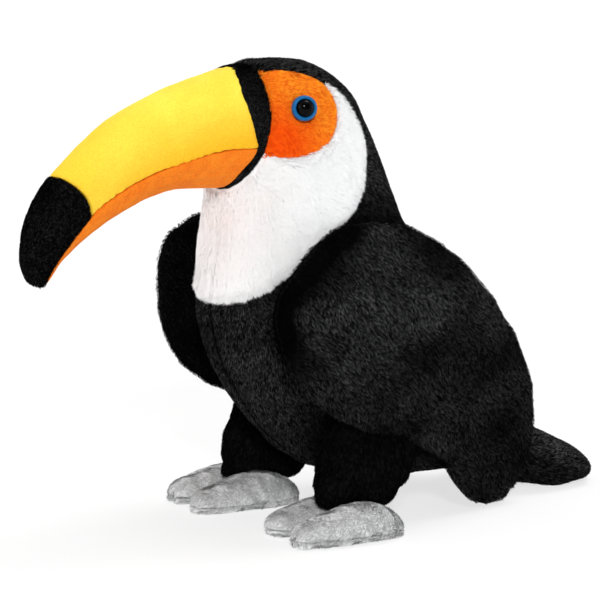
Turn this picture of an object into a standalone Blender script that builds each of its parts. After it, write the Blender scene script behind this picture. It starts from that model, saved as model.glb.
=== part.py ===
"""A stuffed toco toucan, standing: velour beak, plush head, bib, trunk, wings, tail, legs and feet,
and plastic safety eyes. Each sewn part is one closed solid.

Metres, +Z up. The bird faces -Y, its left side is +X, and the floor is Z = 0.
The outlines below are drawn in the plane of symmetry as (y, z) pairs, with y from the feet.
"""

import math

import bmesh
import bpy
import numpy as np
from mathutils import Matrix, Vector

MM = 0.001
GAP = 0.3  # mm between neighbouring parts
MIDDLE_Y = 21.5  # mm from the feet back to the middle of the whole length

# Trunk, neck and head in one form, from the crown down and back to the rump.
# Each row: front or belly point (y, z), nape or back point (y, z), half width.
TRUNK = [
    (-14, 258.8, 2, 259.0, 7),
    (-29, 255.5, 16, 254.5, 21),
    (-39, 247, 31, 245.5, 30),
    (-44, 233, 44, 232, 36),
    (-45, 215, 52, 214.5, 41),
    (-44, 198, 58, 198, 46.5),
    (-45.5, 180, 64, 181, 51),
    (-49, 158, 72, 165, 55),
    (-51.5, 135, 87, 148, 58),
    (-50, 110, 106, 128, 59),
    (-40, 83, 124, 104, 59),
    (-19, 54, 138, 81, 57),
    (12, 29, 146, 59, 52),
    (50, 19, 148, 43, 43),
    (85, 17, 144, 31, 30),
    (110, 19, 134, 25, 12),
]
TRUNK_SIDES = 28
TRUNK_RINGS = 27

# Beak, from inside the head out to the tip: culmen point, lower edge point, half width.
BEAK = [
    (-22, 256.5, -24, 188, 28),
    (-38, 255, -44, 188.5, 28.5),
    (-60, 250, -60, 189, 27.5),
    (-84, 242.5, -77, 189.5, 26),
    (-106, 233.5, -94, 186, 23.5),
    (-125.5, 221.5, -110, 179.5, 21),
    (-142, 207.5, -125, 172, 18.5),
    (-155.5, 193, -137, 163.5, 16),
    (-164, 177, -146, 155.5, 13),
    (-167, 160, -151, 148, 9.5),
    (-164, 149, -155.5, 143.5, 5.5),
]
BEAK_SIDES = 24
BEAK_RINGS = 22

# Seam lines in side view, and the far corners of the region that each one closes off.
MOUTH_SEAM = [(-33, 212), (-49, 212.5), (-61, 211.4), (-73, 209), (-97, 202.5), (-120.5, 191.6),
              (-137, 178), (-148, 163.4), (-154.5, 151)]
MOUTH_CORNERS = [(-156, 130), (0, 150), (0, 212)]
TIP_SEAM = [(-153, 211), (-148.5, 204.5), (-141.5, 197), (-136, 189), (-133.5, 180)]
TIP_CORNERS = [(-131, 130), (-190, 130), (-190, 215)]
BAND_SEAM = [(-30, 262), (-34.5, 255.5), (-39.5, 251.5), (-42, 244.5), (-41.5, 235), (-39, 223.5), (-35.8, 213),
             (-38.5, 205), (-43, 198), (-46, 182)]
BAND_CORNERS = [(20, 182), (20, 262)]
FACE_OUTLINE = [(-30.5, 247.5), (-27, 250.4), (-16, 253.2), (-4, 251.2), (7, 245), (11, 236), (9.3, 225.5),
                (2, 216.5), (-11, 209.5), (-26, 208), (-38, 213), (-44, 231)]
FACE_DEPTH = 14  # how far from the middle the cheek panels start
BIB_SEAM = [(4, 247.6), (10.5, 244), (17.5, 238), (25.5, 226), (28, 214.5), (24.3, 202), (17.5, 188),
            (6, 176), (-9, 164), (-24, 150), (-37, 137), (-48, 129.5), (-62, 124)]
BIB_CORNERS = [(-90, 130), (-90, 247.6)]
HEAD_BASE_Z = 205
NECK_BASE_Z = 170
BEAK_CUT_X = 60  # half width of the cutters that part the beak
BODY_CUT_X = 90  # half width of those that part the body
BODY_CUT_Y = (-90, 200)
BODY_CUT_Z = (-50, 300)

# Wing: outline in side view, and how far its rim stands from the middle plane.
# Each row: y, z, x of the rim.
WING = [
    (-48, 126, 57),
    (-45, 143, 58),
    (-33, 157, 58),
    (-13, 168.5, 56),
    (15, 173.5, 52),
    (47, 168.5, 45),
    (84, 147, 44),
    (115, 117, 43),
    (138, 84, 41),
    (146, 54, 41),
    (141, 27, 43),
    (128, 9, 45),
    (108, 3.5, 47),
    (89, 12, 49),
    (75, 33, 53),
    (41, 49, 58),
    (5, 62, 61),
    (-27, 81, 62),
    (-42, 104, 60),
]
WING_CENTRE = (42, 108)
WING_OUTER_BULGE = 11.5
WING_INNER_BULGE = 12
WING_SIDES = 30
WING_STEPS = (0.3, 0.6, 0.82, 0.95)

# Tail: y, top z, underside z, half width.
TAIL = [
    (118, 56, 24, 22),
    (134, 52, 14, 30),
    (150, 47, 4, 37),
    (166, 39, -4, 41),
    (182, 30.5, -6, 41.5),
    (195, 23, -5, 38),
    (205, 16, -1, 30),
    (210, 11, 3, 17),
]
TAIL_SIDES = 20
TAIL_RINGS = 14

# Thigh: y, z, half depth, half width, and the middle of each leg.
LEG = [
    (13, 13.5, 17, 13),
    (14, 16, 24, 18.5),
    (18, 24, 30, 22),
    (22, 37, 31.5, 22.5),
    (24, 52, 30, 19),
    (27, 66, 26, 14),
]
LEG_X = 44.5
LEG_SIDES = 20
LEG_RINGS = 9

# Toe: distance from its middle along the foot, top z, half width.
TOE = [
    (-38, 6.5, 2.5),
    (-36.5, 10.5, 8),
    (-31, 14, 12),
    (-19, 17, 13.8),
    (-4, 20.5, 14.4),
    (8, 21.5, 14.4),
    (19, 17.5, 12.5),
    (26, 12.5, 9),
    (29.5, 8, 3.5),
]
TOE_SIDES = 14
TOE_RINGS = 10
SOLE_FLAT = 0.22  # share of a toe's height that its flat sole cuts off
TOE_SPREAD = 29.2  # between the middles of the two toes of a foot
FOOT_X = 48.5
FOOT_Y = 3
FEET_TURN = -8  # degrees: both feet point a little to the bird's right

# Eye: a domed rim with a glossy pupil in it.
EYE_PLACE = (35.2, -12.5, 233.3)
EYE_TURN = 22
EYE_LIFT = 8
RIM_RADIUS = 7.2
RIM_HEIGHT = 3.0
RIM_ROOT = 3.0  # how deep the rim is set into the cheek
PUPIL_RADIUS = 5.2
PUPIL_RISE = 1.9
DOME_STEPS = 6
EYE_STEPS = 16

COLOURS = {
    "yellow_velour": ((0.95, 0.66, 0.035), 0.9),
    "orange_velour": ((0.88, 0.24, 0.045), 0.9),
    "black_plush": ((0.011, 0.011, 0.012), 0.85),
    "orange_plush": ((0.95, 0.16, 0.012), 0.9),
    "white_plush": ((0.86, 0.85, 0.84), 0.9),
    "grey_velour": ((0.42, 0.43, 0.44), 0.9),
    "blue_plastic": ((0.02, 0.13, 0.42), 0.25),
    "black_plastic": ((0.004, 0.004, 0.005), 0.06),
}


def clear_scene():
    for obj in list(bpy.data.objects):
        bpy.data.objects.remove(obj)


def new_collection(name):
    collection = bpy.data.collections.new(name)
    bpy.context.scene.collection.children.link(collection)
    return collection


def material(name):
    found = bpy.data.materials.get(name)
    if found:
        return found
    colour, roughness = COLOURS[name]
    made = bpy.data.materials.new(name)
    made.use_nodes = True
    shader = made.node_tree.nodes["Principled BSDF"]
    shader.inputs["Base Color"].default_value = (*colour, 1)
    shader.inputs["Roughness"].default_value = roughness
    shader.inputs["Metallic"].default_value = 0
    return made


def through(rows, count, closed=False):
    """count rows read from the smooth curve through the given rows (Catmull-Rom)."""
    rows = np.array(rows, float)
    spans = len(rows) if closed else len(rows) - 1
    found = []
    for at in np.linspace(0, spans, count, endpoint=not closed):
        i = min(int(at), spans - 1)
        t = at - i
        if closed:
            a, b, c, d = (rows[(i + k) % len(rows)] for k in (-1, 0, 1, 2))
        else:
            b, c = rows[i], rows[i + 1]
            a = rows[i - 1] if i else 2 * b - c
            d = rows[i + 2] if i + 2 < len(rows) else 2 * c - b
        found.append(0.5 * (2 * b + (c - a) * t + (2 * a - 5 * b + 4 * c - d) * t**2
                            + (3 * b - a - 3 * c + d) * t**3))
    return np.array(found)


def to_frame(point):
    """From millimetres behind the feet to metres in the part's frame."""
    x, y, z = point
    return Vector((x, y - MIDDLE_Y, z)) * MM


def add_mesh(bm, name, collection, slot=None):
    mesh = bpy.data.meshes.new(name)
    bmesh.ops.recalc_face_normals(bm, faces=bm.faces)
    if bm.calc_volume(signed=True) < 0:
        bmesh.ops.reverse_faces(bm, faces=bm.faces)
    bm.to_mesh(mesh)
    bm.free()
    mesh.shade_smooth()
    mesh.set_sharp_from_angle(angle=math.radians(40))
    obj = bpy.data.objects.new(name, mesh)
    collection.objects.link(obj)
    if slot:
        mesh.materials.append(material(slot))
    else:
        obj.hide_render = True
        obj.display_type = "WIRE"
    return obj


def loft(name, rings, collection, slot=None):
    """One closed solid through rings of points, each ring with the same number of points."""
    bm = bmesh.new()
    loops = [[bm.verts.new(to_frame(point)) for point in ring] for ring in rings]
    for near, far in zip(loops, loops[1:]):
        for i in range(len(near)):
            j = (i + 1) % len(near)
            bm.faces.new((near[i], near[j], far[j], far[i]))
    bm.faces.new(loops[0])
    bm.faces.new(loops[-1])
    return add_mesh(bm, name, collection, slot)


def sections(rows, sides, count, fullness=1.0):
    """Rings across the plane of symmetry, each between two points of the side outline.
    A fullness under 1 squares the ring up a little."""
    rings = []
    for y1, z1, y2, z2, half_width in through(rows, count):
        ring = []
        for step in range(sides):
            turn = 2 * math.pi * step / sides
            across = math.copysign(abs(math.sin(turn)) ** fullness, math.sin(turn))
            along = math.copysign(abs(math.cos(turn)) ** fullness, math.cos(turn))
            ring.append((half_width * across,
                         (y1 + y2) / 2 + along * (y1 - y2) / 2,
                         (z1 + z2) / 2 + along * (z1 - z2) / 2))
        rings.append(ring)
    return rings


def prism(name, outline, low_x, high_x, cutters):
    """A side-view outline, drawn out from low_x to high_x."""
    bm = bmesh.new()
    face = bm.faces.new([bm.verts.new(to_frame((low_x, y, z))) for y, z in outline])
    made = bmesh.ops.extrude_face_region(bm, geom=[face])
    moved = [v for v in made["geom"] if isinstance(v, bmesh.types.BMVert)]
    bmesh.ops.translate(bm, verts=moved, vec=((high_x - low_x) * MM, 0, 0))
    return add_mesh(bm, name, cutters)


def grown(outline, distance):
    """The closed outline moved outwards by a distance."""
    points = np.array(outline, float)
    ahead = np.roll(points, -1, 0)
    behind = np.roll(points, 1, 0)
    sign = math.copysign(1, (points[:, 0] * ahead[:, 1] - ahead[:, 0] * points[:, 1]).sum())
    way = ahead - behind
    way /= np.linalg.norm(way, axis=1)[:, None]
    return points + sign * distance * np.stack([way[:, 1], -way[:, 0]], 1)


def swollen(source, distance, cutters):
    """A copy of a solid, a little larger all round, to cut its neighbours with."""
    copy = source.copy()
    copy.data = source.data.copy()
    copy.name = source.name + "_cutter"
    cutters.objects.link(copy)
    bm = bmesh.new()
    bm.from_mesh(copy.data)
    bm.normal_update()
    moves = [v.normal * distance * MM for v in bm.verts]
    for vertex, move in zip(bm.verts, moves):
        vertex.co += move
    bm.to_mesh(copy.data)
    bm.free()
    copy.hide_render = True
    copy.display_type = "WIRE"
    return copy


def cut(obj, operation, *others):
    """Applies one Boolean after another."""
    for other in others:
        modifier = obj.modifiers.new(operation.lower(), "BOOLEAN")
        modifier.solver = "EXACT"
        modifier.operation = operation
        modifier.object = other
    bpy.context.view_layer.update()
    graph = bpy.context.evaluated_depsgraph_get()
    mesh = bpy.data.meshes.new_from_object(obj.evaluated_get(graph))
    obj.modifiers.clear()
    obj.data = mesh
    return obj


def piece_of(source, name, slot, parts):
    """A named copy of a solid, ready to be cut to its own region."""
    mesh = source.data.copy()
    mesh.materials.clear()
    mesh.materials.append(material(slot))
    obj = bpy.data.objects.new(name, mesh)
    parts.objects.link(obj)
    return obj


def box(name, low, high, cutters):
    bm = bmesh.new()
    bmesh.ops.create_cube(bm, size=1)
    low, high = to_frame(low), to_frame(high)
    bmesh.ops.scale(bm, verts=bm.verts, vec=high - low)
    bmesh.ops.translate(bm, verts=bm.verts, vec=(low + high) / 2)
    return add_mesh(bm, name, cutters)


def make_beak(whole, parts, cutters):
    """Splits the beak at the band seam, the mouth seam and the tip seam."""
    regions = {}
    for name, seam, count, corners in (("band", BAND_SEAM, 18, BAND_CORNERS),
                                       ("lower", MOUTH_SEAM, 22, MOUTH_CORNERS),
                                       ("tip", TIP_SEAM, 10, TIP_CORNERS)):
        outline = [*through(seam, count), *corners]
        regions[name] = prism(f"{name}_region", outline, -BEAK_CUT_X, BEAK_CUT_X, cutters)
        regions[name + "_kerf"] = prism(f"{name}_kerf", grown(outline, GAP), -BEAK_CUT_X, BEAK_CUT_X, cutters)

    cut(piece_of(whole, "beak_band", "black_plush", parts), "INTERSECT", regions["band"])
    ahead = piece_of(whole, "beak_ahead", "yellow_velour", parts)
    cut(ahead, "DIFFERENCE", regions["band_kerf"])
    cut(piece_of(ahead, "beak_lower", "orange_velour", parts), "INTERSECT", regions["lower"])
    cut(ahead, "DIFFERENCE", regions["lower_kerf"])
    cut(piece_of(ahead, "beak_tip", "black_plush", parts), "INTERSECT", regions["tip"])
    cut(piece_of(ahead, "beak_upper", "yellow_velour", parts), "DIFFERENCE", regions["tip_kerf"])
    bpy.data.objects.remove(ahead)


def make_eye(side, parts, cutters):
    """A turned rim and pupil, set into the cheek. Returns the rim's cutter."""
    mirror = 1 if side == "left" else -1
    turn = Matrix.Rotation(math.radians(-EYE_TURN * mirror), 4, "Z")
    lift = Matrix.Rotation(math.radians(-EYE_LIFT * mirror), 4, "Y")
    face_out = Matrix.Rotation(math.radians(90 * mirror), 4, "Y")
    x, y, z = EYE_PLACE
    place = Matrix.Translation(to_frame((x * mirror, y, z))) @ turn @ lift @ face_out

    def turned(name, profile, collection, slot=None):
        bm = bmesh.new()
        chain = [bm.verts.new((radius * MM, 0, height * MM)) for radius, height in profile]
        edges = [bm.edges.new(pair) for pair in zip(chain, chain[1:])]
        bmesh.ops.spin(bm, geom=[*chain, *edges], cent=(0, 0, 0), axis=(0, 0, 1),
                       angle=2 * math.pi, steps=EYE_STEPS, use_merge=True)
        bmesh.ops.remove_doubles(bm, verts=bm.verts, dist=0.01 * MM)
        bmesh.ops.transform(bm, matrix=place, verts=bm.verts)
        return add_mesh(bm, name, collection, slot)

    def rim_profile(grow):
        outer = RIM_RADIUS + grow
        return [(0, -RIM_ROOT - grow), (outer - 1.2, -RIM_ROOT - grow), (outer, -RIM_ROOT / 2), (outer, 0.6),
                (outer - 0.5, 2.0), (outer - 1.2, RIM_HEIGHT - 0.2)]

    seat = PUPIL_RADIUS + GAP
    shoulder = RIM_HEIGHT - 0.6
    rim = [*rim_profile(0), (seat + 0.1, RIM_HEIGHT - 0.1), (seat, shoulder), (seat, 0), (0, 0)]
    dome = [(PUPIL_RADIUS * math.cos(a), shoulder + (PUPIL_RISE + 0.6) * math.sin(a))
            for a in np.linspace(0, math.pi / 2, DOME_STEPS)]
    turned(f"eye_{side}_rim", rim, parts, "blue_plastic")
    turned(f"eye_{side}_pupil", [(0, GAP), (PUPIL_RADIUS, GAP), *dome], parts, "black_plastic")
    plug = [*rim_profile(GAP), (RIM_RADIUS - 1.9, RIM_HEIGHT), (0, RIM_HEIGHT + 1)]
    return turned(f"eye_{side}_socket", plug, cutters)


def make_head_and_trunk(form, parts, cutters):
    """Parts the head, cheeks, bib, neck and trunk along their seams."""
    face_line = through(FACE_OUTLINE, 33, closed=True)
    kerfs = []
    for side, low_x, high_x in (("left", FACE_DEPTH, BODY_CUT_X), ("right", -BODY_CUT_X, -FACE_DEPTH)):
        region = prism(f"face_{side}_region", face_line, low_x, high_x, cutters)
        face = cut(piece_of(form, f"face_{side}", "orange_plush", parts), "INTERSECT", region)
        cut(face, "DIFFERENCE", make_eye(side, parts, cutters))
        kerfs.append(prism(f"face_{side}_kerf", grown(face_line, GAP), low_x - GAP, high_x + GAP, cutters))
    cut(form, "DIFFERENCE", *kerfs)

    in_front = [*through(BIB_SEAM, 34), *BIB_CORNERS]
    region = prism("bib_region", in_front, -BODY_CUT_X, BODY_CUT_X, cutters)
    kerf = prism("bib_kerf", grown(in_front, GAP), -BODY_CUT_X, BODY_CUT_X, cutters)
    cut(piece_of(form, "bib", "white_plush", parts), "INTERSECT", region)
    cut(form, "DIFFERENCE", kerf)

    half = GAP / 2
    levels = (("head", HEAD_BASE_Z + half, BODY_CUT_Z[1]), ("neck", NECK_BASE_Z + half, HEAD_BASE_Z - half),
              ("trunk", BODY_CUT_Z[0], NECK_BASE_Z - half))
    for name, low_z, high_z in levels:
        region = box(f"{name}_region", (-BODY_CUT_X, BODY_CUT_Y[0], low_z), (BODY_CUT_X, BODY_CUT_Y[1], high_z),
                     cutters)
        cut(piece_of(form, name, "black_plush", parts), "INTERSECT", region)


def wing_rings(mirror):
    """Rings from the middle of the inner side, round the rim, to the middle of the outer side."""
    rim = through(WING, WING_SIDES, closed=True)
    middle_y, middle_z = WING_CENTRE
    middle_x = rim[:, 2].mean()
    steps = [(r, -1) for r in WING_STEPS] + [(1, 0)] + [(r, 1) for r in reversed(WING_STEPS)]
    rings = []
    for r, side in steps:
        bulge = WING_OUTER_BULGE if side > 0 else WING_INNER_BULGE
        rise = side * bulge * math.sqrt(1 - r**2.2)
        rings.append([(mirror * (middle_x + r**1.5 * (x - middle_x) + rise),
                       middle_y + r * (y - middle_y),
                       middle_z + r * (z - middle_z)) for y, z, x in rim])
    return rings


def pad_rings(rows, sides, count, place):
    """Rings across a pad that lies on the floor, flat where its rows (y, top, underside, half width)
    reach below it. place puts each point where the pad goes."""
    rings = []
    for y, top, bottom, half_width in through(rows, count):
        ring = []
        for step in range(sides):
            turn = 2 * math.pi * step / sides
            z = (top + bottom) / 2 + (top - bottom) / 2 * math.sin(turn)
            ring.append(place(half_width * math.cos(turn), y, max(z, 0)))
        rings.append(ring)
    return rings


def make_tail(parts):
    rings = pad_rings(TAIL, TAIL_SIDES, TAIL_RINGS, lambda x, y, z: (x, y, z))
    return loft("tail", rings, parts, "black_plush")


def make_foot(side, parts):
    """Two toe pads side by side, each with a flat sole on the floor."""
    mirror = 1 if side == "left" else -1
    turn = math.radians(FEET_TURN)
    toes = []
    for name, offset in (("outer", TOE_SPREAD / 2), ("inner", -TOE_SPREAD / 2)):

        def place(x, y, z, offset=offset):
            across = offset * mirror + x
            return (FOOT_X * mirror + across * math.cos(turn) - y * math.sin(turn),
                    FOOT_Y + across * math.sin(turn) + y * math.cos(turn),
                    z)

        rows = [(y, top, -SOLE_FLAT * top, half) for y, top, half in TOE]
        rings = pad_rings(rows, TOE_SIDES, TOE_RINGS, place)
        toes.append(loft(f"foot_{side}_{name}_toe", rings, parts, "grey_velour"))
    return toes


def leg_rings(mirror):
    rings = []
    for y, z, half_depth, half_width in through(LEG, LEG_RINGS):
        rings.append([(mirror * (LEG_X + half_width * math.cos(turn)), y + half_depth * math.sin(turn), z)
                      for turn in np.linspace(0, 2 * math.pi, LEG_SIDES, endpoint=False)])
    return rings


def main():
    clear_scene()
    parts = new_collection("stuffed_toucan")
    cutters = new_collection("cutters")

    form = loft("body_form", sections(TRUNK, TRUNK_SIDES, TRUNK_RINGS), cutters)
    beak = loft("beak_form", sections(BEAK, BEAK_SIDES, BEAK_RINGS, 0.94), cutters)
    make_beak(beak, parts, cutters)

    tail = make_tail(parts)
    around_form = swollen(form, GAP, cutters)
    cut(tail, "DIFFERENCE", around_form)
    around_tail = swollen(tail, GAP, cutters)
    for side, mirror in (("left", 1), ("right", -1)):
        toes = make_foot(side, parts)
        leg = loft(f"leg_{side}", leg_rings(mirror), parts, "black_plush")
        cut(leg, "DIFFERENCE", around_form, *(swollen(toe, GAP, cutters) for toe in toes))
        around_leg = swollen(leg, GAP, cutters)
        wing = loft(f"wing_{side}", wing_rings(mirror), parts, "black_plush")
        cut(wing, "DIFFERENCE", around_form, around_leg, around_tail)

    cut(form, "DIFFERENCE", swollen(beak, GAP, cutters))
    make_head_and_trunk(form, parts, cutters)


main()
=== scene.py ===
# %% [markdown]
# # A stuffed toucan, sewn from pile fabric
# The toy is 259 mm tall. A stuffed body is sewn from black, white and orange plush, the long beak
# from short velour, the flat feet from crushed grey velour, and two plastic safety eyes are pushed
# through the face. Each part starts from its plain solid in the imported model, so that everything
# lands in the right place, and then gets its stuffing, its seams and its pile.

# %% Load the frame
import math

import bmesh
import bpy
import numpy as np
from mathutils import Matrix, Vector
from mathutils.bvhtree import BVHTree
from mathutils.kdtree import KDTree


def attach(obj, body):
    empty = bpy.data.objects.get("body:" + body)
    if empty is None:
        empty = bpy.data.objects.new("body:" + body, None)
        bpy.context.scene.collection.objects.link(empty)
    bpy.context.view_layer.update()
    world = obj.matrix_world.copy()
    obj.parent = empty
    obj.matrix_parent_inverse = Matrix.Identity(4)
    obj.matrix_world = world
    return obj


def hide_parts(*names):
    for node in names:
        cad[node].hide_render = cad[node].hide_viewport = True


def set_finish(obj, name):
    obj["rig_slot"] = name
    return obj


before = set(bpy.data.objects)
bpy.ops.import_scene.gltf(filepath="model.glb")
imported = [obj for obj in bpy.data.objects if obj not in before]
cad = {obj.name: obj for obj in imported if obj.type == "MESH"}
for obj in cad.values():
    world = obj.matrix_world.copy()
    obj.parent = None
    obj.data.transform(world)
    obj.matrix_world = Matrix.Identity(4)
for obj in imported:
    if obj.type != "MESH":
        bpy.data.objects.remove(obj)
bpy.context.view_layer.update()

MM = 0.001

# %% [markdown]
# ## The camera
# The toy is seen from its left front, a little from above, through a long lens, which keeps
# the beak from looking larger than the body behind it.

# %% Camera
AIM = Vector((10 * MM, -18.5 * MM, 125 * MM))
CAMERA_TURN = math.radians(36.0)
CAMERA_RISE = math.radians(9.1)
CAMERA_AWAY = 1.5
LENS = 163.6


def linked(name, data):
    made = bpy.data.objects.new(name, data)
    bpy.context.scene.collection.objects.link(made)
    return made


def turn_from(made, source):
    """Turns a lamp or the camera, which stands towards source, to face the toy."""
    made.rotation_mode = "QUATERNION"
    made.rotation_quaternion = (-Vector(source)).to_track_quat("-Z", "Y")


def make_camera():
    data = bpy.data.cameras.new("camera")
    data.lens = LENS
    data.clip_start, data.clip_end = 0.05, 60
    camera = linked("camera", data)
    back = Vector((math.cos(CAMERA_TURN) * math.cos(CAMERA_RISE),
                   -math.sin(CAMERA_TURN) * math.cos(CAMERA_RISE), math.sin(CAMERA_RISE)))
    camera.location = AIM + back * CAMERA_AWAY
    turn_from(camera, back)
    bpy.context.scene.camera = camera
    print("camera at", [round(x, 3) for x in camera.location])


make_camera()

# %% [markdown]
# ## The studio
# Catalogue toys stand on a white table that is lit from below as well as from above, so that
# their shadows stay faint. Low white walls go all the way round, the ceiling is dimmer, and the
# room behind the camera is dark, which keeps the black plastic of the eyes black. Two lights give
# direction: a fairly small key from above the camera, which the eye mirrors as a highlight, and a
# soft top light from behind, which catches the pile on the back, the crown and the tail. A broad,
# weaker fill comes in low from the beak's side and reaches the bib under the beak.

# %% Floor, surround and lamps
def shader_node(tree, kind, **settings):
    """A node with its properties set, and its inputs where the name is an input's."""
    made = tree.nodes.new(f"ShaderNode{kind}")
    for name, value in settings.items():
        if hasattr(made, name):
            setattr(made, name, value)
        else:
            made.inputs[name.replace("_", " ")].default_value = value
    return made


def feed(tree, socket, value):
    """Sets an input, or links it where the value is the output of another node."""
    if isinstance(value, bpy.types.NodeSocket):
        tree.links.new(value, socket)
    else:
        socket.default_value = value


def calculated(tree, operation, *values):
    made = shader_node(tree, "Math", operation=operation)
    for at, value in enumerate(values):
        feed(tree, made.inputs[at], value)
    return made.outputs[0]


def vector_math(tree, operation, a, b):
    made = shader_node(tree, "VectorMath", operation=operation)
    feed(tree, made.inputs[0], a)
    feed(tree, made.inputs[1], b)
    return made.outputs["Vector" if operation == "MULTIPLY" else "Value"]


def mapped(tree, value, low, high, to_low, to_high):
    """A value moved from one range to another, and kept inside the new one."""
    made = shader_node(tree, "MapRange")
    for title, given in (("Value", value), ("From Min", low), ("From Max", high),
                         ("To Min", to_low), ("To Max", to_high)):
        feed(tree, made.inputs[title], given)
    return made.outputs["Result"]


def plain_material(name, colour, roughness, **inputs):
    """A material, its tree and its shader, with any of the shader's other inputs by name."""
    material = bpy.data.materials.new(name)
    material.use_nodes = True
    shader = material.node_tree.nodes["Principled BSDF"]
    for title, value in dict(inputs, Base_Color=(*colour, 1), Roughness=roughness).items():
        shader.inputs[title.replace("_", " ")].default_value = value
    return material, material.node_tree, shader


def object_from(name, bm):
    mesh = bpy.data.meshes.new(name)
    bm.to_mesh(mesh)
    bm.free()
    return linked(name, mesh)


def sunlight(name, source, strength, spread):
    """Even light from a direction; spread is how wide the source looks, in degrees."""
    data = bpy.data.lights.new(name, "SUN")
    data.energy, data.angle = strength, math.radians(spread)
    turn_from(linked(name, data), source)


TABLE_GLOW = 0.70
TABLE_HALF_SIZE = 25
bm = bmesh.new()
bmesh.ops.create_grid(bm, x_segments=1, y_segments=1, size=TABLE_HALF_SIZE)
floor = object_from("studio_floor", bm)
paper = plain_material("studio_paper", (0.3, 0.3, 0.3), 0.9, Specular_IOR_Level=0.0,
                       Emission_Color=(1, 1, 1, 1), Emission_Strength=TABLE_GLOW)[0]
floor.data.materials.append(paper)

WALL, CEILING = 1.25, 0.55
WALL_TOP = (0.2, 0.5)
DARK_SIDE, DARK_SHARE = (0.92, -0.35, 0.17), 0.14
DARK_EDGE = (0.58, 0.82)


def make_surround():
    """White walls up to a low height, then a dimmer ceiling; dark behind the camera."""
    world = bpy.data.worlds.new("studio")
    world.use_nodes = True
    tree, background = world.node_tree, world.node_tree.nodes["Background"]
    way = shader_node(tree, "TexCoord").outputs["Generated"]
    parts = shader_node(tree, "SeparateXYZ")
    feed(tree, parts.inputs[0], way)
    light = mapped(tree, parts.outputs["Z"], *WALL_TOP, WALL, CEILING)
    turned_to = vector_math(tree, "DOT_PRODUCT", way, DARK_SIDE)
    dark = mapped(tree, turned_to, *DARK_EDGE, 1.0, DARK_SHARE)
    feed(tree, background.inputs["Strength"], calculated(tree, "MULTIPLY", light, dark))
    background.inputs["Color"].default_value = (1, 1, 1, 1)
    bpy.context.scene.world = world


make_surround()
sunlight("key", (0.74, -0.46, 0.45), 1.6, 9)
sunlight("top", (0.1, 0.5, 1.5), 1.1, 30)
sunlight("fill", (-0.35, -1.25, 0.25), 0.75, 60)
bpy.context.scene.view_settings.view_transform = "Standard"

# %% [markdown]
# ## Solids into stuffed shells
# A solid from the model is loose triangles, so a copy is welded first. A voxel remesh turns it
# into even quads. The cloth solver then blows the shell up against its seams: points along a
# seam are pinned, the rest swell by a small capped distance, which gives the valley that thread
# pulls into a stuffed toy.

# %% Mesh helpers
WELD = 0.02 * MM


def solid_bm(nodes):
    bm = bmesh.new()
    for node in nodes:
        bm.from_mesh(cad[node].data)
    bmesh.ops.remove_doubles(bm, verts=bm.verts, dist=WELD)
    return bm


def welded(name, nodes, swell=0.0, extra=()):
    """The nodes' solids in one new object, each grown by swell so that neighbours run together,
    and any extra meshes as they are."""
    bm = solid_bm(nodes)
    bm.normal_update()
    for vert in bm.verts:
        vert.co += vert.normal * swell
    for mesh in extra:
        bm.from_mesh(mesh)
        bpy.data.meshes.remove(mesh)
    return object_from(name, bm)


def applied(obj):
    """The object with its modifiers made part of its mesh."""
    graph = bpy.context.evaluated_depsgraph_get()
    mesh = bpy.data.meshes.new_from_object(obj.evaluated_get(graph))
    obj.modifiers.clear()
    before, obj.data = obj.data, mesh
    mesh.name = obj.name
    bpy.data.meshes.remove(before)
    return obj


def remeshed(obj, voxel):
    modifier = obj.modifiers.new("voxels", "REMESH")
    modifier.mode = "VOXEL"
    modifier.voxel_size = voxel
    applied(obj)
    keep_largest_shell(obj)
    return obj


def keep_largest_shell(obj):
    """Drops any bubble that the remesh left inside the shell."""
    bm = bmesh.new()
    bm.from_mesh(obj.data)
    left, shells = set(bm.verts), []
    while left:
        seen, front = set(), {next(iter(left))}
        while front:
            seen |= front
            front = {edge.other_vert(vert) for vert in front for edge in vert.link_edges} - seen
        left -= seen
        shells.append(seen)
    shells.sort(key=len)
    bmesh.ops.delete(bm, geom=[v for shell in shells[:-1] for v in shell], context="VERTS")
    bm.to_mesh(obj.data)
    bm.free()


def subdivided(obj):
    modifier = obj.modifiers.new("round", "SUBSURF")
    modifier.levels = modifier.render_levels = 1
    return applied(obj)


def softened(obj, times, factor=0.5):
    bm = bmesh.new()
    bm.from_mesh(obj.data)
    for _ in range(times):
        bmesh.ops.smooth_vert(bm, verts=bm.verts, factor=factor,
                              use_axis_x=True, use_axis_y=True, use_axis_z=True)
    bm.to_mesh(obj.data)
    bm.free()
    return obj


def read(items, title, width, kind=np.float32):
    """One property of every item of a mesh collection, as an array with a row for each."""
    flat = np.empty(len(items) * width, kind)
    items.foreach_get(title, flat)
    return flat.reshape(-1, width)


def coords(mesh):
    return read(mesh.vertices, "co", 3).astype(float)


def directions(mesh):
    return read(mesh.vertex_normals, "vector", 3).astype(float)


def put(obj, points):
    obj.data.vertices.foreach_set("co", points.astype(np.float32).ravel())
    obj.data.update()


def triangles(mesh):
    mesh.calc_loop_triangles()
    return read(mesh.loop_triangles, "vertices", 3, np.int32)


def unit(vectors):
    return vectors / np.maximum(np.linalg.norm(vectors, axis=-1, keepdims=True), 1e-12)


# %% [markdown]
# ## Blowing up a shell
# Pressure pushes every face outwards. Gravity is off, so the shell stays where the model
# holds it. How far a point may move is capped, because an uncapped shell keeps on growing.

# %% Cloth stuffing
PRESSURE = 4.0
STUFFING_FRAMES = 20


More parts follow.
